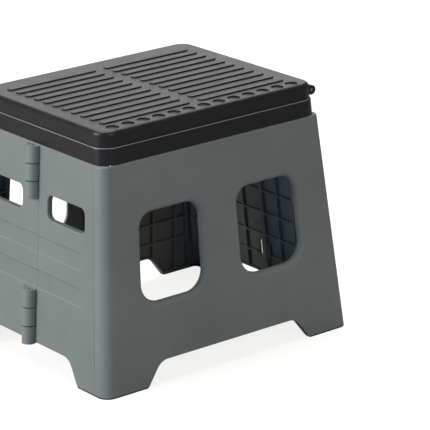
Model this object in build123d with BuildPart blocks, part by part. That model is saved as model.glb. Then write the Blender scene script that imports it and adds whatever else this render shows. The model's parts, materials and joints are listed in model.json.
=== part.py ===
from build123d import *

import math
import os

os.makedirs("parts", exist_ok=True)

# A folding stool. Millimetres, +Z up, +X along the stool's length, -Y to its front.
# The origin is on the floor at the middle of the base.
# The base is a truncated pyramid: every wall, panel edge and hinge line of it runs towards one apex,
# so sizes of its plan are given at the floor and shrink as they rise.

# Base
apex_height = 2200.0
half_length = 189.0
half_depth = 158.0
corner_radius = 15.0
wall_top = 279.6
pad_height = 1.6
wall_depth = 9.0
panel_depth = 8.0
skin = 3.0
web = 2.5
web_pitch = 36.0
shoulder_radius = 2.6
corner_return = 22.0
slab_end = half_length - 20.0
panel_gap = 0.4
parting_offset = 9.0

front_web_heights = (48.0, 76.0, 138.0, 176.0, 232.0)
side_web_heights = (58.0, 86.0, 117.0, 148.0, 180.0, 234.0)

# Windows, arches and recessed bands
window_inner = 31.5
window_outer = 128.5
window_low = 101.5
window_high = 212.5
window_low_radius = 25.0
window_high_radius = 19.0
window_lip = 7.5
window_rim = 6.5
side_window_inner = 30.0
side_window_outer = 115.0
side_window_low = 191.5
side_window_high = 222.0
side_window_radius = 8.5
side_lip = 2.0
front_arch = (125.5, 104.0, 29.3)
side_arch = (100.0, 80.0, 31.5)
arch_radius = 20.0
band_depth = 1.2
band_outer = 113.5
band_ramp = 12.0
band_heights = ((100.0, 124.5), (145.0, 168.0))

# Hinges of the base
pin_radius = 2.0
pin_clearance = 0.05
open_pivot_clearance = 0.35
knuckle_gap = 0.5
centre_offset = 4.5
centre_radius = 8.5
centre_gap = 1.3
centre_stacks = ((29.6, 98.8), (213.6, 278.6))
corner_inset_x = 10.0
corner_inset_y = 12.0
corner_knuckle_radius = 5.0
corner_stacks = ((36.0, 96.0), (205.0, 265.0))
corner_x = half_length - corner_inset_x
corner_y = half_depth - corner_inset_y

# Seat frame
frame_low = 280.0
frame_high = 300.0
frame_half_low = (163.8, 136.9)
frame_half_high = (162.7, 135.8)
frame_radius = 22.0
frame_wall = 3.0
frame_edge = 1.4
opening_half = (106.0, 82.0)
opening_lip = 3.0

# Lid
lid_low = 300.9
lid_high = 320.0
lid_half = (160.9, 133.5)
lid_radius = 20.0
lid_wall = 3.0
lid_edge = 5.0
lid_draft = 1.0
tread_length = 131.0
tread_width = 10.0
tread_height = 1.4
tread_pitch = 19.5
tread_rows = 11
tread_middle = 72.5
scoop_radius = 8.0
scoop_pitch = 22.5
scoop_count = 13
scoop_row = -118.3
scoop_depth = 1.3
scoop_tilt = 4.4
buffer_place = (132.0, 106.0)
buffer_radius = 5.0

# Hinges of the top
lid_axis_x = 164.8
lid_axis_z = 306.6
lid_knuckle_radius = 6.0
lid_hinge_outer = 121.5
lid_knuckle_length = 12.6
seat_axis_y = 146.0
seat_axis_z = 286.0
seat_knuckle_radius = 6.5
seat_hinge_x = 92.0
seat_knuckle_length = 15.0


def shrink(height):
    """Scale of the base's plan at a height."""
    return 1 - height / apex_height


def tapered(outline, low=pad_height, high=wall_top):
    """A solid that runs towards the apex. outline(scale) draws its plan."""
    with BuildPart() as block:
        for height in (low, high):
            with BuildSketch(Plane.XY.offset(height)):
                outline(shrink(height))
        loft(ruled=True)
    return block.part


def rectangle_plan(low_x, low_y, high_x, high_y):
    """A plan for tapered: a rectangle between two corners, given at the floor."""
    def outline(scale):
        with Locations(((low_x + high_x) / 2 * scale, (low_y + high_y) / 2 * scale)):
            Rectangle((high_x - low_x) * scale, (high_y - low_y) * scale)
    return outline


def corner_band_plan(depth):
    """A plan for tapered: the rounded outline of the front wall and its returns, depth thick."""
    def outline(scale):
        RectangleRounded(2 * half_length * scale, 2 * half_depth * scale, corner_radius * scale)
        RectangleRounded(
            2 * (half_length - depth) * scale,
            2 * (half_depth - depth) * scale,
            (corner_radius - depth) * scale,
            mode=Mode.SUBTRACT,
        )
        with Locations((0, -half_depth * scale)):
            Rectangle(2 * half_length * scale, 2 * corner_return * scale, mode=Mode.INTERSECT)
    return outline


def rounded_block():
    """The whole base as one block with its top edge rounded over, to trim walls and panels with."""
    def outline(scale):
        RectangleRounded(2 * half_length * scale, 2 * half_depth * scale, corner_radius * scale)
    with BuildPart() as block:
        add(tapered(outline))
        fillet(faces().sort_by(Axis.Z)[-1].edges(), shoulder_radius)
    return block.part


def hinge_plane(foot_x, foot_y, height):
    """Plane square to the hinge line that runs from a foot on the floor to the apex."""
    scale = shrink(height)
    return Plane(
        origin=(foot_x * scale, foot_y * scale, height),
        x_dir=(1, 0, 0),
        z_dir=(-foot_x, -foot_y, apex_height),
    )


def bar_on_line(foot, low, high, outline):
    """A bar along a hinge line between two heights. outline() draws its section."""
    with BuildPart() as bar:
        with BuildSketch(hinge_plane(*foot, low)):
            outline()
        extrude(amount=high - low)
    return bar.part


def round_bar(foot, low, high, radius):
    return bar_on_line(foot, low, high, lambda: Circle(radius))


def thirds(stack, gap=knuckle_gap):
    """The heights of a three-knuckle stack: lower, middle and upper."""
    low, high = stack
    length = (high - low - 2 * gap) / 3
    return [(low + place * (length + gap), low + place * (length + gap) + length) for place in range(3)]


def trapezoid(points, low_radius, high_radius):
    """Draw a four-sided outline, given low edge first, with rounded corners."""
    Polygon(*points, align=None)
    corners = vertices().sort_by(Axis.Y)
    fillet(corners[2:], high_radius)
    fillet(vertices().sort_by(Axis.Y)[:2], low_radius)


def window_points(inner, outer, low, high, side=1):
    """Corners of a window whose upright edges run towards the apex."""
    return [
        (side * inner * shrink(low), low),
        (side * outer * shrink(low), low),
        (side * outer * shrink(high), high),
        (side * inner * shrink(high), high),
    ]


def draw_arch(arch):
    """Draw the rounded gap between two feet."""
    foot, shoulder, height = arch
    Polygon((-foot, 0), (foot, 0), (shoulder, height), (-shoulder, height), align=None)
    fillet(vertices().sort_by(Axis.Y)[2:], arch_radius)


def front_openings():
    """Cutter for the two windows and the arch of the front wall."""
    with BuildPart() as cutter:
        with BuildSketch(Plane.XZ.offset(half_depth - 45)):
            draw_arch(front_arch)
        extrude(amount=60)
        for side in (-1, 1):
            with BuildSketch(Plane.XZ.offset(half_depth - 45)):
                trapezoid(
                    window_points(window_inner, window_outer, window_low, window_high, side),
                    window_low_radius,
                    window_high_radius,
                )
            extrude(amount=60)
    return cutter.part


def front_pocket():
    """The hollows behind the front wall's skin, which leave webs round every edge and window."""
    reach = slab_end - web
    inner_face = half_depth - wall_depth
    cutting_plane = Plane.XZ.offset(half_depth - 45)
    with BuildPart() as pocket:
        with BuildSketch(cutting_plane):
            Polygon(*window_points(-reach, reach, pad_height + web, wall_top - skin), align=None)
            for height in front_web_heights:
                with Locations((0, height)):
                    Rectangle(2 * half_length, web, mode=Mode.SUBTRACT)
            for place in range(-4, 5):
                with Locations((place * web_pitch, wall_top / 2)):
                    Rectangle(web, wall_top, mode=Mode.SUBTRACT)
        extrude(amount=60)
        with BuildSketch(cutting_plane):
            draw_arch(front_arch)
            offset(amount=web)
        extrude(amount=60, mode=Mode.SUBTRACT)
        for side in (-1, 1):
            with BuildSketch(cutting_plane):
                trapezoid(
                    window_points(window_inner, window_outer, window_low, window_high, side),
                    window_low_radius,
                    window_high_radius,
                )
                offset(amount=window_rim)
            extrude(amount=60, mode=Mode.SUBTRACT)
        add(
            tapered(rectangle_plan(-slab_end, -half_depth + skin, slab_end, 2 - inner_face)),
            mode=Mode.INTERSECT,
        )
    return pocket.part


def wall_shell():
    """A long wall, drawn as the front one: skin, corner returns, webs, windows and arch."""
    inner_face = half_depth - wall_depth
    slab = tapered(rectangle_plan(-slab_end, -half_depth, slab_end, -inner_face))
    openings = front_openings()
    pocket = front_pocket()
    with BuildPart() as wall:
        add(tapered(corner_band_plan(skin)))
        add(slab)
        add(openings, mode=Mode.SUBTRACT)
        outer_face = faces().filter_by(lambda face: face.area > 20000).sort_by(Axis.Y)[0]
        fillet([rim_edge for rim in outer_face.inner_wires() for rim_edge in rim.edges()], window_lip)
        add(rounded_block(), mode=Mode.INTERSECT)
        add(pocket, mode=Mode.SUBTRACT)
    return wall.part


def wall_knuckles(pin_holes):
    """The outer two knuckles of each corner hinge on the front wall, both ends of it."""
    with BuildPart() as knuckles:
        for side in (-1, 1):
            foot = (side * corner_x, -corner_y)
            for stack in corner_stacks:
                for low, high in (thirds(stack)[0], thirds(stack)[2]):
                    with BuildSketch(hinge_plane(*foot, low)):
                        Circle(corner_knuckle_radius)
                        with Locations((-side * 1.25, -corner_inset_y / 2 + 1.3)):
                            Rectangle(5.5, corner_inset_y - 2.6)
                    extrude(amount=high - low)
                add(round_bar(foot, *stack, pin_holes), mode=Mode.SUBTRACT)
    return knuckles.part


def side_openings():
    """Cutter for the windows of both half panels and the arch, on the left side."""
    with BuildPart() as cutter:
        with BuildSketch(Plane.YZ.offset(-half_length - 5)):
            draw_arch(side_arch)
        extrude(amount=60)
        for side in (-1, 1):
            with BuildSketch(Plane.YZ.offset(-half_length - 5)):
                trapezoid(
                    window_points(
                        side_window_inner, side_window_outer, side_window_low, side_window_high, side
                    ),
                    side_window_radius,
                    side_window_radius,
                )
            extrude(amount=60)
    return cutter.part


def side_bands(near, far):
    """Cutter for two shallow bands across one half panel, which run out level at their far end."""
    ramp_start = far - math.copysign(band_ramp, far)
    outside = half_length + 5

    def plan(scale):
        Polygon(
            (-outside * scale, near * scale),
            (-outside * scale, far * scale),
            (-half_length * scale, far * scale),
            ((band_depth - half_length) * scale, ramp_start * scale),
            ((band_depth - half_length) * scale, near * scale),
            align=None,
        )

    with BuildPart() as cutter:
        for low, high in band_heights:
            add(tapered(plan, low, high))
    return cutter.part


def side_pocket(low_y, high_y):
    """The hollows behind a half panel's skin."""
    edge_low = low_y + web
    edge_high = high_y - web
    low = pad_height + web
    high = wall_top - skin
    cutting_plane = Plane.YZ.offset(-half_length - 5)
    with BuildPart() as pocket:
        with BuildSketch(cutting_plane):
            Polygon(
                (edge_low * shrink(low), low),
                (edge_high * shrink(low), low),
                (edge_high * shrink(high), high),
                (edge_low * shrink(high), high),
                align=None,
            )
            for height in side_web_heights:
                with Locations((0, height)):
                    Rectangle(2 * half_depth, web, mode=Mode.SUBTRACT)
            for place in (-1, 0, 1):
                with Locations(((low_y + high_y) / 2 + place * 32.0, wall_top / 2)):
                    Rectangle(web, wall_top, mode=Mode.SUBTRACT)
        extrude(amount=60)
        with BuildSketch(cutting_plane):
            draw_arch(side_arch)
            offset(amount=web)
        extrude(amount=60, mode=Mode.SUBTRACT)
        for side in (-1, 1):
            with BuildSketch(cutting_plane):
                trapezoid(
                    window_points(
                        side_window_inner, side_window_outer, side_window_low, side_window_high, side
                    ),
                    side_window_radius,
                    side_window_radius,
                )
                offset(amount=web)
            extrude(amount=60, mode=Mode.SUBTRACT)
        depth = rectangle_plan(
            -half_length + skin, -half_depth, -half_length + panel_depth + 2, half_depth
        )
        add(tapered(depth), mode=Mode.INTERSECT)
    return pocket.part


def half_panel(low_y, high_y, band_near, band_far):
    """One flat half of the left side, between two lines that run towards the apex."""
    slab = tapered(rectangle_plan(-half_length, low_y, -half_length + panel_depth, high_y))
    openings = side_openings()
    bands = side_bands(band_near, band_far)
    pocket = side_pocket(low_y, high_y)
    with BuildPart() as panel:
        add(slab)
        add(openings, mode=Mode.SUBTRACT)
        outer_face = faces().filter_by(lambda face: face.area > 10000).sort_by(Axis.X)[0]
        fillet(outer_face.inner_wires()[0].edges(), side_lip)
        add(rounded_block(), mode=Mode.INTERSECT)
        add(bands, mode=Mode.SUBTRACT)
        add(pocket, mode=Mode.SUBTRACT)
    return panel.part


def panel_corner_knuckles(end, hole_radius):
    """The middle knuckles of the corner hinges at one end of the left side, end -1 or 1."""
    foot = (-corner_x, end * corner_y)
    with BuildPart() as knuckles:
        for stack in corner_stacks:
            low, high = thirds(stack)[1]
            with BuildSketch(hinge_plane(*foot, low)):
                Circle(corner_knuckle_radius)
                with Locations((-1.5, -end * 8.5)):
                    Rectangle(6, 17)
            extrude(amount=high - low)
            add(round_bar(foot, low - 5, high + 5, hole_radius), mode=Mode.SUBTRACT)
    return knuckles.part


centre_foot = (-half_length - centre_offset, 0)


def centre_knuckle(low, high, outline):
    """One knuckle of a left centre hinge, with the hole for its pin."""
    with BuildPart() as knuckle:
        with BuildSketch(hinge_plane(*centre_foot, low)):
            Circle(centre_radius)
            Polygon(*outline, align=None)
            Circle(pin_radius + pin_clearance, mode=Mode.SUBTRACT)
        extrude(amount=high - low)
    return knuckle.part


def left_front_panel_part(corner_hole):
    """The front half of the left side, with the middle knuckle of each centre hinge."""
    panel_end = half_depth - corner_return - panel_gap
    core = half_panel(-panel_end, -parting_offset - panel_gap, 0, -band_outer)
    arm = [(centre_offset, 0), (centre_offset, -16), (centre_radius + 3, -16), (centre_radius, 0)]
    with BuildPart() as panel:
        add(core)
        for stack in centre_stacks:
            low, high = thirds(stack, centre_gap)[1]
            add(centre_knuckle(low, high, arm))
        add(panel_corner_knuckles(-1, corner_hole))
    return panel.part


def left_rear_panel_part():
    """The rear half of the left side, with the outer knuckles of each centre hinge."""
    panel_end = half_depth - corner_return - panel_gap
    core = half_panel(-parting_offset, panel_end, -2 * parting_offset, band_outer)
    blend = [(centre_radius, -7), (centre_radius, 18), (centre_offset, 18), (-6, 6)]
    with BuildPart() as panel:
        add(core)
        for stack in centre_stacks:
            lower, middle, upper = thirds(stack, centre_gap)
            for low, high in (lower, upper):
                add(centre_knuckle(low, high, blend))
            with BuildSketch(hinge_plane(*centre_foot, middle[0] - centre_gap)):
                with Locations((0, -1)):
                    Rectangle(26, 2 * centre_radius + 3)
            extrude(amount=middle[1] - middle[0] + 2 * centre_gap, mode=Mode.SUBTRACT)
        add(panel_corner_knuckles(1, pin_radius + pin_clearance))
    return panel.part


def pins_on_line(feet, stacks):
    """Hinge pins along the hinge lines with these feet."""
    with BuildPart() as pins:
        for foot in feet:
            for low, high in stacks:
                add(round_bar(foot, low + 0.5, high - 1.0, pin_radius))
    return pins.part


def save(piece, name):
    piece.label = name
    export_step(piece, f"parts/{name}.step")


# Long walls
front_shell = wall_shell()
front_knuckles = wall_knuckles(pin_radius + pin_clearance)

with BuildPart() as front_wall:
    add(front_shell)
    add(front_knuckles)


def seat_hinge_bracket(side):
    """The back wall's two knuckles of one seat hinge, outside its top edge."""
    outer_y = half_depth * shrink(wall_top)
    with BuildPart() as bracket:
        for end in (-1, 1):
            start = side * seat_hinge_x + end * (seat_knuckle_length + knuckle_gap) - seat_knuckle_length / 2
            with BuildSketch(Plane.YZ.offset(start)):
                with Locations((seat_axis_y, seat_axis_z)):
                    Circle(seat_knuckle_radius)
                Polygon(
                    (outer_y - 1.5, 258),
                    (outer_y - 1.5, wall_top - 0.1),
                    (outer_y + 1.6, wall_top - 0.1),
                    (outer_y + 1.6, seat_axis_z),
                    (seat_axis_y + seat_knuckle_radius, seat_axis_z),
                    (seat_axis_y + 3, 272),
                    align=None,
                )
                with Locations((seat_axis_y, seat_axis_z)):
                    Circle(pin_radius + pin_clearance, mode=Mode.SUBTRACT)
            extrude(amount=seat_knuckle_length)
    return bracket.part


with BuildPart() as back_wall:
    mirror(front_shell, about=Plane.XZ)
    mirror(front_knuckles, about=Plane.XZ)
    for side in (-1, 1):
        add(seat_hinge_bracket(side))

# Half panels of the short sides
with BuildPart() as left_front_panel:
    add(left_front_panel_part(pin_radius + pin_clearance))

with BuildPart() as right_front_panel:
    mirror(left_front_panel_part(pin_radius + open_pivot_clearance), about=Plane.YZ)

left_rear = left_rear_panel_part()

with BuildPart() as left_rear_panel:
    add(left_rear)

with BuildPart() as right_rear_panel:
    mirror(left_rear, about=Plane.YZ)

# Pins of the base's hinges
with BuildPart() as left_centre_hinge_pins:
    add(pins_on_line([centre_foot], centre_stacks))

with BuildPart() as right_centre_hinge_pins:
    mirror(left_centre_hinge_pins.part, about=Plane.YZ)

corner_pins = {}
for end, end_name in ((-1, "front"), (1, "rear")):
    for side, side_name in ((-1, "left"), (1, "right")):
        corner_pins[f"{end_name}_{side_name}_corner_hinge_pins"] = pins_on_line(
            [(side * corner_x, end * corner_y)], corner_stacks
        )

# Foot pads
with BuildPart() as front_wall_foot_pads:
    add(tapered(corner_band_plan(wall_depth), 0, pad_height))
    Box(2 * front_arch[0], 4 * half_depth, 4 * pad_height, mode=Mode.SUBTRACT)

with BuildPart() as back_wall_foot_pads:
    mirror(front_wall_foot_pads.part, about=Plane.XZ)

with BuildPart() as left_front_foot_pad:
    pad_end = half_depth - corner_return - panel_gap
    add(
        tapered(
            rectangle_plan(-half_length, -pad_end, -half_length + panel_depth, -side_arch[0]),
            0,
            pad_height,
        )
    )

with BuildPart() as left_rear_foot_pad:
    mirror(left_front_foot_pad.part, about=Plane.XZ)

with BuildPart() as right_front_foot_pad:
    mirror(left_front_foot_pad.part, about=Plane.YZ)

with BuildPart() as right_rear_foot_pad:
    mirror(left_rear_foot_pad.part, about=Plane.YZ)


def round_along_y(y_low, y_high, radius):
    """A round bar on the lid's hinge axis."""
    with BuildPart() as bar:
        with BuildSketch(Plane.XZ.offset(-y_high)):
            with Locations((lid_axis_x, lid_axis_z)):
                Circle(radius)
        extrude(amount=y_high - y_low)
    return bar.part


def lid_hinge_span(side):
    """The three knuckle spans along Y of the lid hinge at the front (-1) or the rear (1)."""
    step = lid_knuckle_length + knuckle_gap
    start = lid_hinge_outer if side > 0 else -lid_hinge_outer
    spans = []
    for place in range(3):
        near = start - side * step * place
        far = near - side * lid_knuckle_length
        spans.append((min(near, far), max(near, far)))
    return spans


def along_y(outline, y_low, y_high):
    """A bar along Y whose section, drawn by outline() in X and Z, lies between two Y values."""
    with BuildPart() as bar:
        with BuildSketch(Plane.XZ.offset(-y_high)):
            outline()
        extrude(amount=y_high - y_low)
    return bar.part


# Seat frame
def frame_knuckle_section():
    """A knuckle that rises from the frame's side to the lid's hinge axis."""
    with Locations((lid_axis_x, lid_axis_z)):
        Circle(lid_knuckle_radius)
    Polygon(
        (lid_axis_x - lid_knuckle_radius, lid_axis_z),
        (lid_axis_x - lid_knuckle_radius, frame_high - 6),
        (lid_axis_x - 2, frame_high - 12),
        (lid_axis_x + 3, frame_high - 5),
        (lid_axis_x + lid_knuckle_radius, lid_axis_z),
        align=None,
    )


with BuildPart() as seat_frame:
    for height, half in ((frame_low, frame_half_low), (frame_high, frame_half_high)):
        with BuildSketch(Plane.XY.offset(height)):
            RectangleRounded(2 * half[0], 2 * half[1], frame_radius)
    loft()
    fillet(faces().sort_by(Axis.Z)[-1].edges(), frame_edge)
    with BuildSketch(Plane.XY.offset(frame_low)):
        Ellipse(*opening_half)
    extrude(amount=frame_high - frame_low, mode=Mode.SUBTRACT)
    fillet(faces().sort_by(Axis.Z)[-1].inner_wires()[0].edges(), opening_lip)
    with BuildSketch(Plane.XY.offset(frame_low)):
        RectangleRounded(
            2 * (frame_half_high[0] - frame_wall),
            2 * (frame_half_high[1] - frame_wall),
            frame_radius - frame_wall,
        )
        Ellipse(opening_half[0] + frame_wall, opening_half[1] + frame_wall, mode=Mode.SUBTRACT)
        for place in range(-4, 5):
            with Locations((place * web_pitch, 0)):
                Rectangle(web, 2 * half_depth, mode=Mode.SUBTRACT)
            with Locations((0, place * web_pitch)):
                Rectangle(2 * half_length, web, mode=Mode.SUBTRACT)
    extrude(amount=frame_high - frame_low - frame_wall, mode=Mode.SUBTRACT)
    for side in (-1, 1):
        span = lid_hinge_span(side)[1]
        add(along_y(frame_knuckle_section, *span))
        add(round_along_y(*span, pin_radius + pin_clearance), mode=Mode.SUBTRACT)
    for side in (-1, 1):
        with BuildSketch(Plane.YZ.offset(side * seat_hinge_x - seat_knuckle_length / 2)):
            with Locations((seat_axis_y, seat_axis_z)):
                Circle(seat_knuckle_radius)
            with Locations((seat_axis_y - 5.5, seat_axis_z + 0.5)):
                Rectangle(11, 9)
            with Locations((seat_axis_y, seat_axis_z)):
                Circle(pin_radius + pin_clearance, mode=Mode.SUBTRACT)
        extrude(amount=seat_knuckle_length)


# Lid
def lid_knuckle_section():
    """A knuckle that stands out from the lid's side."""
    with Locations((lid_axis_x, lid_axis_z)):
        Circle(lid_knuckle_radius)
    Polygon(
        (lid_axis_x - 9, lid_low),
        (lid_axis_x - 2, lid_low),
        (lid_axis_x, lid_axis_z),
        (lid_axis_x, lid_axis_z + lid_knuckle_radius),
        (lid_axis_x - 9, lid_axis_z + lid_knuckle_radius + 2),
        align=None,
    )


buffer_places = [(x * buffer_place[0], y * buffer_place[1]) for x in (-1, 1) for y in (-1, 1)]

with BuildPart() as lid:
    with BuildSketch(Plane.XY.offset(lid_low)):
        RectangleRounded(2 * lid_half[0], 2 * lid_half[1], lid_radius)
    extrude(amount=lid_high - lid_low, taper=lid_draft)
    fillet(faces().sort_by(Axis.Z)[-1].edges(), lid_edge)
    # Hollow underneath, left solid beside the hinge knuckles
    with BuildSketch(Plane.XY.offset(lid_low)):
        RectangleRounded(
            2 * (lid_half[0] - lid_wall), 2 * (lid_half[1] - lid_wall), lid_radius - lid_wall
        )
        for side in (-1, 1):
            with Locations((lid_half[0] - 5, side * (lid_hinge_outer - 1.5 * lid_knuckle_length))):
                Rectangle(16, 3 * lid_knuckle_length + 8, mode=Mode.SUBTRACT)
        with Locations(*buffer_places):
            Circle(buffer_radius + 2, mode=Mode.SUBTRACT)
    extrude(amount=lid_high - lid_low - lid_wall - 0.5, mode=Mode.SUBTRACT)
    # Stiffening webs under the top
    with BuildSketch(Plane.XY.offset(lid_low + 0.5)):
        for place in range(-4, 5):
            with Locations((place * web_pitch, 0)):
                Rectangle(web, 2 * lid_half[1] - 2 * lid_wall)
        for place in range(-3, 4):
            with Locations((0, place * web_pitch)):
                Rectangle(2 * lid_half[0] - 2 * lid_wall, web)
    extrude(amount=lid_high - lid_low - 0.5 - lid_wall)
    # Room round the frame's knuckles, then the lid's own knuckles
    for side in (-1, 1):
        first, middle, last = lid_hinge_span(side)
        room = lid_knuckle_radius + 1
        with BuildSketch(Plane.XY.offset(lid_low - 1)):
            with Locations((lid_axis_x, (middle[0] + middle[1]) / 2)):
                Rectangle(2 * room, lid_knuckle_length + 2 * knuckle_gap)
        extrude(amount=lid_axis_z + room - lid_low + 1, mode=Mode.SUBTRACT)
        for span in (first, last):
            add(along_y(lid_knuckle_section, *span))
            add(round_along_y(*span, pin_radius + pin_clearance), mode=Mode.SUBTRACT)
    # Non-slip treads in two groups, and a row of scoops along the front edge
    with BuildSketch(Plane.XY.offset(lid_high)):
        for side in (-1, 1):
            with Locations((side * tread_middle, 0)):
                with GridLocations(tread_length, tread_pitch, 1, tread_rows):
                    SlotOverall(tread_length, tread_width)
    extrude(amount=tread_height)
    fillet(faces().group_by(Axis.Z)[-1].edges(), 0.6)
    far_edge = scoop_row + scoop_radius
    scoop_plane = Plane(
        origin=(0, far_edge, lid_high - scoop_depth), x_dir=(1, 0, 0), z_dir=(0, 0, 1)
    ).rotated((scoop_tilt, 0, 0))
    with BuildSketch(scoop_plane):
        with Locations((0, -scoop_radius)):
            with GridLocations(scoop_pitch, 1, scoop_count, 1):
                Circle(scoop_radius)
    extrude(amount=5, mode=Mode.SUBTRACT)
    # Sockets for the buffers
    with BuildSketch(Plane.XY.offset(lid_low - 1)):
        with Locations(*buffer_places):
            Circle(buffer_radius - 1.5)
    extrude(amount=7, mode=Mode.SUBTRACT)
    with BuildSketch(Plane.XY.offset(lid_low - 1)):
        with Locations(*buffer_places):
            Circle(buffer_radius + 2.5)
    extrude(amount=2.5, mode=Mode.SUBTRACT)

with BuildPart() as lid_buffers:
    with BuildSketch(Plane.XY.offset(frame_high)):
        with Locations(*buffer_places):
            Circle(buffer_radius)
    extrude(amount=lid_low + 1.5 - frame_high)
    fillet(edges().group_by(Axis.Z)[0], 0.8)
    with BuildSketch(Plane.XY.offset(lid_low + 1.5)):
        with Locations(*buffer_places):
            Circle(buffer_radius - 1.5)
    extrude(amount=4)

with BuildPart() as lid_hinge_pins:
    for side in (-1, 1):
        spans = lid_hinge_span(side)
        low = min(span[0] for span in spans) + 0.5
        high = max(span[1] for span in spans) - 0.5
        add(round_along_y(low, high, pin_radius))

with BuildPart() as seat_hinge_pins:
    half_pin = 1.5 * seat_knuckle_length
    for side in (-1, 1):
        with BuildSketch(Plane.YZ.offset(side * seat_hinge_x - half_pin)):
            with Locations((seat_axis_y, seat_axis_z)):
                Circle(pin_radius)
        extrude(amount=2 * half_pin)

save(front_wall.part, "front_wall")
save(back_wall.part, "back_wall")
save(left_front_panel.part, "left_front_panel")
save(left_rear_panel.part, "left_rear_panel")
save(right_front_panel.part, "right_front_panel")
save(right_rear_panel.part, "right_rear_panel")
save(left_centre_hinge_pins.part, "left_centre_hinge_pins")
save(right_centre_hinge_pins.part, "right_centre_hinge_pins")
for name, pins in corner_pins.items():
    save(pins, name)
save(front_wall_foot_pads.part, "front_wall_foot_pads")
save(back_wall_foot_pads.part, "back_wall_foot_pads")
save(left_front_foot_pad.part, "left_front_foot_pad")
save(left_rear_foot_pad.part, "left_rear_foot_pad")
save(right_front_foot_pad.part, "right_front_foot_pad")
save(right_rear_foot_pad.part, "right_rear_foot_pad")
save(seat_frame.part, "seat_frame")
save(lid.part, "lid")
save(lid_buffers.part, "lid_buffers")
save(lid_hinge_pins.part, "lid_hinge_pins")
save(seat_hinge_pins.part, "seat_hinge_pins")
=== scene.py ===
"""A folding stool in grey-green and charcoal plastic on a pale studio floor."""
import json
import math

import bmesh
import bpy
from mathutils import Matrix, Vector


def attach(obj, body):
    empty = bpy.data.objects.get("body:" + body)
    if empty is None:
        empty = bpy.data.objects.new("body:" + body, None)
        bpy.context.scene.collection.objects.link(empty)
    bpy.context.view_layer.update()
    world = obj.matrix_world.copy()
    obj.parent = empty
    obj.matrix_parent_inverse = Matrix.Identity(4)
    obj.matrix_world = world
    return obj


# Camera: degrees, metres and millimetres of lens
AZIMUTH = -37.21
ELEVATION = 18.711
ROLL = -1.68
DISTANCE = 3.2744
LENS = 219.12
SENSOR = 36.0
AIM = Vector((0.0, 0.0, 0.160))
SIDE_STEP = 0.08118
RISE = -0.00869
FAR_CLIP = 40.0

# Colours, linear
BODY_COLOUR = (0.222, 0.236, 0.226)
TOP_COLOUR = (0.0125, 0.0108, 0.0112)
# Pale grey of the seat frame's rim, a painted highlight along the charcoal top edge
RIM_HIGHLIGHT_COLOUR = (0.31, 0.305, 0.30)
STEEL_COLOUR = (0.55, 0.55, 0.54)
RUBBER_COLOUR = (0.016, 0.016, 0.017)
FLOOR_COLOUR = (0.32, 0.32, 0.316)
ROOM_COLOUR = (1.0, 1.0, 0.985)

# Brightness of the floor and the room as the camera sees it, and of the room as the stool gets it
FLOOR_GLOW = 0.84
ROOM_GLOW = 1.0
ROOM_LIGHT = 0.16
FLOOR_RADIUS = 9.0

# Soft boxes: name, place in metres, width, watts, colour
SOFTBOXES = (
    ("overhead", (0.2, 0.6, 2.6), 2.2, 62.0, (1.0, 1.0, 1.0)),
    ("left window", (-2.7, 0.7, 1.1), 1.5, 66.0, (0.95, 1.0, 0.98)),
    ("back glow", (2.2, 3.0, 1.15), 2.6, 22.0, (0.95, 0.98, 1.0)),
    ("corner strip", (-1.9, -1.9, 0.7), 0.5, 6.0, (0.10, 0.42, 1.0)),
    ("front fill", (0.1, -2.9, 1.3), 1.6, 17.0, (1.0, 0.94, 0.83)),
)

# The base in metres: its plan on the floor, and the height at which its slanted edges would meet
APEX_HEIGHT = 2.2
HALF_LENGTH = 0.189
HALF_DEPTH = 0.158
CORNER_RADIUS = 0.015

# The ribs inside the corners: radii about the corner's own centre, and heights
RIB_OUTER = 0.0123
RIB_INNER = 0.0065
RIB_LOW = 0.268
RIB_HIGH = 0.2795
RIB_STEPS = 6

# The recessed bands of the half panels
BAND_DEPTH = 0.0012
BAND_OVERLAP = 0.0001
BAND_CHAMFER = 0.0019
BAND_HEIGHTS = ((0.100, 0.1245), (0.145, 0.168))
BAND_OUTER = 0.1135
BAND_RAMP = 0.012
BAND_FADE = (1.0, 1.0, 0.05)
PARTING_OFFSET = 0.009
PANEL_GAP = 0.0004

# The pale rim along the seat frame's top edge, a painted highlight line
RIM_HALF = (0.1618, 0.1349)
RIM_CORNER = 0.0215
RIM_HEIGHT = 0.2999
RIM_THICK = 0.0006
RIM_CORNER_STEPS = 8
RIM_SIDES = 8

# Sockets of the mix node that carry colours
MIX_FIRST = 6
MIX_SECOND = 7
MIX_RESULT = 2

# The record's material slots
BODY_SLOT = "body_plastic"
TOP_SLOT = "top_plastic"
STEEL_SLOT = "pin_steel"
RUBBER_SLOT = "foot_rubber"


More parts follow.
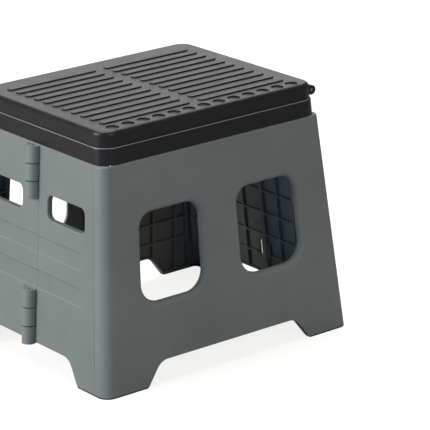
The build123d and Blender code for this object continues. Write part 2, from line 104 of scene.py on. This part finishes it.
class Nodes:
    """A material's node tree, with short ways to add and join nodes."""

    def __init__(self, name):
        self.material = bpy.data.materials.new(name)
        self.material.use_nodes = True
        self.tree = self.material.node_tree
        self.shader = self.tree.nodes["Principled BSDF"]
        self.place = self.add("ShaderNodeTexCoord").outputs["Object"]

    def add(self, kind, **settings):
        """Add a node of a kind and set its own settings."""
        node = self.tree.nodes.new(kind)
        for key, value in settings.items():
            setattr(node, key, value)
        return node

    def join(self, source, target):
        """Link an output socket to an input socket."""
        self.tree.links.new(source, target)

    def noise(self, scale, detail=3.0, stretch=(1.0, 1.0, 1.0)):
        """Noise over the object, with a scale in cells per metre."""
        mapping = self.add("ShaderNodeMapping")
        mapping.inputs["Scale"].default_value = stretch
        self.join(self.place, mapping.inputs["Vector"])
        noise = self.add("ShaderNodeTexNoise")
        noise.inputs["Scale"].default_value = scale
        noise.inputs["Detail"].default_value = detail
        self.join(mapping.outputs["Vector"], noise.inputs["Vector"])
        return noise.outputs["Fac"]

    def remap(self, source, low_in, high_in, low, high):
        """Map a range of one value to another, clamped."""
        span = self.add("ShaderNodeMapRange")
        span.inputs["From Min"].default_value = low_in
        span.inputs["From Max"].default_value = high_in
        span.inputs["To Min"].default_value = low
        span.inputs["To Max"].default_value = high
        self.join(source, span.inputs["Value"])
        return span.outputs["Result"]

    def combine(self, operation, first, second):
        """Join two values, each a number or a socket, with a math operation."""
        node = self.add("ShaderNodeMath", operation=operation)
        for socket, value in zip(node.inputs, (first, second)):
            if isinstance(value, (int, float)):
                socket.default_value = value
            else:
                self.join(value, socket)
        return node.outputs["Value"]

    def mix(self, factor, first, second):
        """Mix two colours, each a colour or a socket."""
        node = self.add("ShaderNodeMix", data_type="RGBA")
        self.join(factor, node.inputs["Factor"])
        for socket, value in zip((node.inputs[MIX_FIRST], node.inputs[MIX_SECOND]), (first, second)):
            if isinstance(value, tuple):
                socket.default_value = (*value, 1.0)
            else:
                self.join(value, socket)
        return node.outputs[MIX_RESULT]

    def bump(self, height, strength, depth, under=None):
        """A bump of a depth in metres, on top of another bump if one is given."""
        bump = self.add("ShaderNodeBump")
        bump.inputs["Strength"].default_value = strength
        bump.inputs["Distance"].default_value = depth
        self.join(height, bump.inputs["Height"])
        if under is not None:
            self.join(under, bump.inputs["Normal"])
        return bump.outputs["Normal"]


def tint(colour, factor):
    """The colour made lighter or darker by a factor."""
    return tuple(min(1.0, part * factor) for part in colour)


def moulded_plastic(name, colour, roughness, grain, scuff, gloss):
    """Moulded plastic: fine grain, uneven sheen, edges rubbed a little paler, faint scratches.

    grain is the strength of the fine bump, scuff how much the scratches and edges show.
    """
    nodes = Nodes(name)
    broad = nodes.noise(7.0, 2.0)
    blotch = nodes.noise(38.0, 4.0)
    fine = nodes.noise(1400.0, 2.0)
    scratches = nodes.noise(160.0, 5.0, stretch=(0.06, 1.0, 2.2))

    tone = nodes.combine(
        "ADD",
        nodes.combine("MULTIPLY", broad, 0.65),
        nodes.combine("MULTIPLY", blotch, 0.35),
    )
    base = nodes.mix(
        nodes.remap(tone, 0.36, 0.64, 0.0, 1.0),
        tint(colour, 0.94),
        tint(colour, 1.06),
    )
    scratch_mask = nodes.remap(scratches, 0.66, 0.72, 0.0, scuff)
    edge = nodes.add("ShaderNodeNewGeometry").outputs["Pointiness"]
    edge_mask = nodes.combine("MULTIPLY", nodes.remap(edge, 0.52, 0.60, 0.0, 1.0), scuff)
    worn = nodes.mix(nodes.combine("MAXIMUM", scratch_mask, edge_mask), base, tint(colour, 1.5))
    nodes.join(worn, nodes.shader.inputs["Base Color"])

    sheen = nodes.combine(
        "ADD",
        nodes.combine("MULTIPLY", blotch, 0.5),
        nodes.combine("MULTIPLY", fine, 0.5),
    )
    nodes.join(
        nodes.remap(sheen, 0.3, 0.7, roughness - 0.06, roughness + 0.06),
        nodes.shader.inputs["Roughness"],
    )
    nodes.shader.inputs["IOR"].default_value = 1.47
    nodes.shader.inputs["Specular IOR Level"].default_value = gloss
    ripple = nodes.bump(broad, 0.25, 0.0015)
    nodes.join(nodes.bump(fine, grain, 0.0002, under=ripple), nodes.shader.inputs["Normal"])
    return nodes.material


def steel():
    """Drawn steel wire with fine lines and slight staining."""
    nodes = Nodes("pin steel")
    lines = nodes.noise(900.0, 3.0, stretch=(1.0, 1.0, 0.05))
    stain = nodes.noise(60.0, 4.0)
    nodes.join(
        nodes.mix(nodes.remap(stain, 0.4, 0.7, 0.0, 1.0), STEEL_COLOUR, tint(STEEL_COLOUR, 0.7)),
        nodes.shader.inputs["Base Color"],
    )
    nodes.join(nodes.remap(stain, 0.3, 0.7, 0.26, 0.42), nodes.shader.inputs["Roughness"])
    nodes.shader.inputs["Metallic"].default_value = 1.0
    nodes.join(nodes.bump(lines, 0.3, 0.0001), nodes.shader.inputs["Normal"])
    return nodes.material


def rubber():
    """Matte rubber, dusty in patches."""
    nodes = Nodes("foot rubber")
    dust = nodes.noise(45.0, 5.0)
    grain = nodes.noise(700.0, 2.0)
    nodes.join(
        nodes.mix(nodes.remap(dust, 0.45, 0.75, 0.0, 1.0), RUBBER_COLOUR, tint(RUBBER_COLOUR, 2.4)),
        nodes.shader.inputs["Base Color"],
    )
    nodes.join(nodes.remap(dust, 0.3, 0.7, 0.62, 0.84), nodes.shader.inputs["Roughness"])
    nodes.join(nodes.bump(grain, 0.5, 0.0003), nodes.shader.inputs["Normal"])
    return nodes.material


def floor_paint():
    """A smooth pale floor. It looks bright, yet throws only part of its light back at the stool."""
    nodes = Nodes("floor")
    haze = nodes.noise(1.5, 2.0)
    nodes.join(
        nodes.mix(nodes.remap(haze, 0.3, 0.7, 0.0, 1.0), FLOOR_COLOUR, tint(FLOOR_COLOUR, 1.01)),
        nodes.shader.inputs["Base Color"],
    )
    nodes.shader.inputs["Roughness"].default_value = 0.9
    nodes.shader.inputs["Specular IOR Level"].default_value = 0.0
    nodes.shader.inputs["Emission Color"].default_value = (*ROOM_COLOUR, 1.0)
    seen = nodes.add("ShaderNodeLightPath").outputs["Is Camera Ray"]
    nodes.join(nodes.combine("MULTIPLY", seen, FLOOR_GLOW), nodes.shader.inputs["Emission Strength"])
    return nodes.material


def dress_nodes(frame):
    """Give every CAD node the material of its slot in the record."""
    finishes = {
        BODY_SLOT: moulded_plastic("body plastic", BODY_COLOUR, 0.46, 0.35, 0.12, 0.35),
        TOP_SLOT: moulded_plastic("top plastic", TOP_COLOUR, 0.34, 0.40, 0.10, 0.50),
        STEEL_SLOT: steel(),
        RUBBER_SLOT: rubber(),
    }
    for row in frame["record"]["subparts"]:
        node = frame["nodes"][row["node"]]
        node.data.materials.clear()
        node.data.materials.append(finishes[row["material_slot"]])
    return finishes


def add_mesh(name, rings, closed, material, body):
    """A skin through rings of points, riding on a body. Its ends are joined if closed, or capped."""
    sides = len(rings[0])
    count = len(rings)
    points = [point for ring in rings for point in ring]
    faces = []
    for step in range(count if closed else count - 1):
        here = step * sides
        there = (step + 1) % count * sides
        for side in range(sides):
            after = (side + 1) % sides
            faces.append((here + side, here + after, there + after, there + side))
    if not closed:
        faces.append(tuple(range(sides))[::-1])
        faces.append(tuple(range((count - 1) * sides, count * sides)))
    mesh = bpy.data.meshes.new(name)
    mesh.from_pydata(points, [], faces)
    shell = bmesh.new()
    shell.from_mesh(mesh)
    bmesh.ops.recalc_face_normals(shell, faces=shell.faces)
    shell.to_mesh(mesh)
    shell.free()
    mesh.materials.append(material)
    piece = bpy.data.objects.new(name, mesh)
    bpy.context.collection.objects.link(piece)
    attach(piece, body)


def lean_at(height):
    """How much smaller the base's plan is at a height than on the floor."""
    return 1 - height / APEX_HEIGHT


def wall_point(depth, along, height, side):
    """A point depth under the outer face of a side wall. side is 1 on the left, -1 on the right."""
    lean = lean_at(height)
    return (-side * (HALF_LENGTH - depth) * lean, along * lean, height)


def chamfer_rings(stops, height, way, side):
    """Sections of one sloping edge, which fades out where the band does. way is 1 for a slope upwards."""
    rings = []
    for along, fade in zip(stops, BAND_FADE):
        band_floor = BAND_DEPTH * fade + BAND_OVERLAP
        slope = way * BAND_CHAMFER * fade
        rings.append((
            wall_point(0.0, along, height, side),
            wall_point(band_floor, along, height, side),
            wall_point(band_floor, along, height + slope, side),
        ))
    return rings


def add_band_chamfers(finishes):
    """The sloping edges above and below each recessed band, on all four half panels."""
    ramp_start = BAND_OUTER - BAND_RAMP
    halves = (
        ("front", (-PARTING_OFFSET - PANEL_GAP, -ramp_start, -BAND_OUTER)),
        ("rear", (-PARTING_OFFSET + PANEL_GAP, ramp_start, BAND_OUTER)),
    )
    for side_name, side in (("left", 1), ("right", -1)):
        for half_name, stops in halves:
            body = f"{side_name}_{half_name}_panel"
            for band, (low, high) in enumerate(BAND_HEIGHTS, start=1):
                for edge, height, way in (("lower", low, 1), ("upper", high, -1)):
                    name = f"{body}_band_{band}_{edge}_chamfer"
                    rings = chamfer_rings(stops, height, way, side)
                    add_mesh(name, rings, False, finishes[BODY_SLOT], body)


def add_corner_ribs(finishes):
    """A curved rib inside each corner of the front and back walls, close under the seat frame."""
    section = (
        (RIB_OUTER, RIB_LOW),
        (RIB_OUTER, RIB_HIGH),
        (RIB_INNER, RIB_HIGH),
        (RIB_INNER, RIB_LOW),
    )
    quarters = (
        ("front_wall_left_corner_rib", "front_wall", 180),
        ("front_wall_right_corner_rib", "front_wall", 270),
        ("back_wall_right_corner_rib", "back_wall", 0),
        ("back_wall_left_corner_rib", "back_wall", 90),
    )
    for name, body, start in quarters:
        middle = math.radians(start + 45)
        centre_x = math.copysign(HALF_LENGTH - CORNER_RADIUS, math.cos(middle))
        centre_y = math.copysign(HALF_DEPTH - CORNER_RADIUS, math.sin(middle))
        rings = []
        for step in range(RIB_STEPS + 1):
            turn = math.radians(start + 90 * step / RIB_STEPS)
            rings.append([
                (
                    (centre_x + reach * math.cos(turn)) * lean_at(height),
                    (centre_y + reach * math.sin(turn)) * lean_at(height),
                    height,
                )
                for reach, height in section
            ])
        add_mesh(name, rings, False, finishes[BODY_SLOT], body)


def add_seat_highlight_rim():
    """The thin rounded rim along the seat frame's top edge, pale grey on the charcoal frame: a painted
    highlight line.
    """
    nodes = Nodes("rim painted highlight")
    # The rim's pale grey paints the highlight on the frame's top edge
    nodes.shader.inputs["Base Color"].default_value = (*RIM_HIGHLIGHT_COLOUR, 1.0)
    nodes.shader.inputs["Roughness"].default_value = 0.25
    rings = []
    for corner, (way_x, way_y) in enumerate(((1, 1), (-1, 1), (-1, -1), (1, -1))):
        centre = Vector((
            way_x * (RIM_HALF[0] - RIM_CORNER),
            way_y * (RIM_HALF[1] - RIM_CORNER),
            RIM_HEIGHT,
        ))
        for step in range(RIM_CORNER_STEPS + 1):
            turn = math.radians(90 * (corner + step / RIM_CORNER_STEPS))
            outward = Vector((math.cos(turn), math.sin(turn), 0.0))
            ring = []
            for side in range(RIM_SIDES):
                around = math.tau * side / RIM_SIDES
                offset = outward * math.cos(around) + Vector((0.0, 0.0, math.sin(around)))
                ring.append(centre + outward * RIM_CORNER + offset * RIM_THICK)
            rings.append(ring)
    add_mesh("seat_frame_painted_highlight_rim", rings, True, nodes.material, "seat_frame")


def add_floor():
    bpy.ops.mesh.primitive_circle_add(vertices=96, radius=FLOOR_RADIUS, fill_type="NGON")
    floor = bpy.context.object
    floor.name = "studio floor"
    floor.data.materials.append(floor_paint())


def add_softbox(name, place, size, watts, colour):
    """A square area light at a place, turned to the stool."""
    light = bpy.data.lights.new(name, "AREA")
    light.shape = "SQUARE"
    light.size = size
    light.energy = watts
    light.color = colour
    box = bpy.data.objects.new(name, light)
    box.location = place
    box.rotation_euler = (AIM - Vector(place)).to_track_quat("-Z", "Y").to_euler()
    box.visible_camera = False
    bpy.context.collection.objects.link(box)


def light_studio():
    """Soft light from above, behind and the left, in a room that is dim at the front."""
    world = bpy.data.worlds.new("studio")
    bpy.context.scene.world = world
    world.use_nodes = True
    tree = world.node_tree
    background = tree.nodes["Background"]
    background.inputs["Color"].default_value = (*ROOM_COLOUR, 1.0)
    seen = tree.nodes.new("ShaderNodeLightPath").outputs["Is Camera Ray"]
    strength = tree.nodes.new("ShaderNodeMapRange")
    strength.inputs["To Min"].default_value = ROOM_LIGHT
    strength.inputs["To Max"].default_value = ROOM_GLOW
    tree.links.new(seen, strength.inputs["Value"])
    tree.links.new(strength.outputs["Result"], background.inputs["Strength"])
    for box in SOFTBOXES:
        add_softbox(*box)


def add_camera():
    """The camera looks at the stool from its front left, a little above."""
    azimuth = math.radians(AZIMUTH)
    elevation = math.radians(ELEVATION)
    roll = math.radians(ROLL)
    back = Vector((
        math.sin(azimuth) * math.cos(elevation),
        -math.cos(azimuth) * math.cos(elevation),
        math.sin(elevation),
    ))
    level = Vector((math.cos(azimuth), math.sin(azimuth), 0.0))
    upright = back.cross(level)
    right = math.cos(roll) * level + math.sin(roll) * upright
    up = math.cos(roll) * upright - math.sin(roll) * level
    place = AIM + SIDE_STEP * right + RISE * up + DISTANCE * back
    data = bpy.data.cameras.new("camera")
    data.lens = LENS
    data.sensor_width = SENSOR
    data.clip_end = FAR_CLIP
    camera = bpy.data.objects.new("camera", data)
    turn = Matrix((right, up, back)).transposed().to_4x4()
    camera.matrix_world = Matrix.Translation(place) @ turn
    bpy.context.collection.objects.link(camera)
    bpy.context.scene.camera = camera


def set_colour_management():
    view = bpy.context.scene.view_settings
    view.view_transform = "Standard"
    view.look = "None"
    view.exposure = 0.0


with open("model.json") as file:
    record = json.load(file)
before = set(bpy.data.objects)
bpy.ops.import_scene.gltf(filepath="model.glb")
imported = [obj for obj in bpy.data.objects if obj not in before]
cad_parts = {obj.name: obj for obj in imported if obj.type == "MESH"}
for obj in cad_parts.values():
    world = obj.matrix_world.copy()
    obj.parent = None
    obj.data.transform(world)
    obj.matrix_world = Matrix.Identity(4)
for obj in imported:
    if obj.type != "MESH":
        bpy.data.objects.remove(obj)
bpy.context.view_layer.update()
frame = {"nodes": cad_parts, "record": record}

finishes = dress_nodes(frame)
add_band_chamfers(finishes)
add_corner_ribs(finishes)
add_seat_highlight_rim()
add_floor()
light_studio()
add_camera()
set_colour_management()
